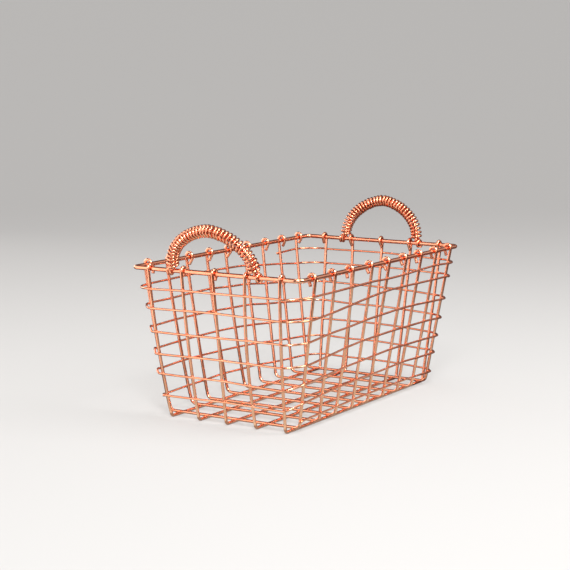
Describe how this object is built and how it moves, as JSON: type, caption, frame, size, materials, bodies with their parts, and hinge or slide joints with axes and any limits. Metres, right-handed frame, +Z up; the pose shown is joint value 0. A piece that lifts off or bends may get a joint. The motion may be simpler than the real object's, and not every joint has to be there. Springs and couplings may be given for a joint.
{
  "type": "wire basket",
  "caption": "Open rectangular storage basket of polished copper wire, with sloping walls, hooked uprights, a spiral of thin wire and two arched handles wound with wire.",
  "frame": {"origin": "on the table, under the middle of the basket's floor", "axes": "+X along the basket, from the front handle to the back handle, +Y across it, +Z up"},
  "size_m": [0.3597, 0.206, 0.2042],
  "materials": {
    "thick_wire": "polished copper plate",
    "thin_wire": "polished copper plate"
  },
  "bodies": {
    "root": {"rim_wire": "thick_wire", "cross_wire_1": "thick_wire", "cross_wire_2": "thick_wire", "cross_wire_3": "thick_wire", "cross_wire_4": "thick_wire", "cross_wire_5": "thick_wire", "cross_wire_6": "thick_wire", "cross_wire_7": "thick_wire", "cross_wire_8": "thick_wire", "cross_wire_9": "thick_wire", "long_wire_1": "thick_wire", "long_wire_2": "thick_wire", "long_wire_3": "thick_wire", "long_wire_4": "thick_wire", "long_wire_5": "thick_wire", "handle_core_front": "thick_wire", "handle_core_back": "thick_wire", "spiral_wire": "thin_wire", "handle_winding_front": "thin_wire", "handle_winding_back": "thin_wire"}
  },
  "joints": []
}
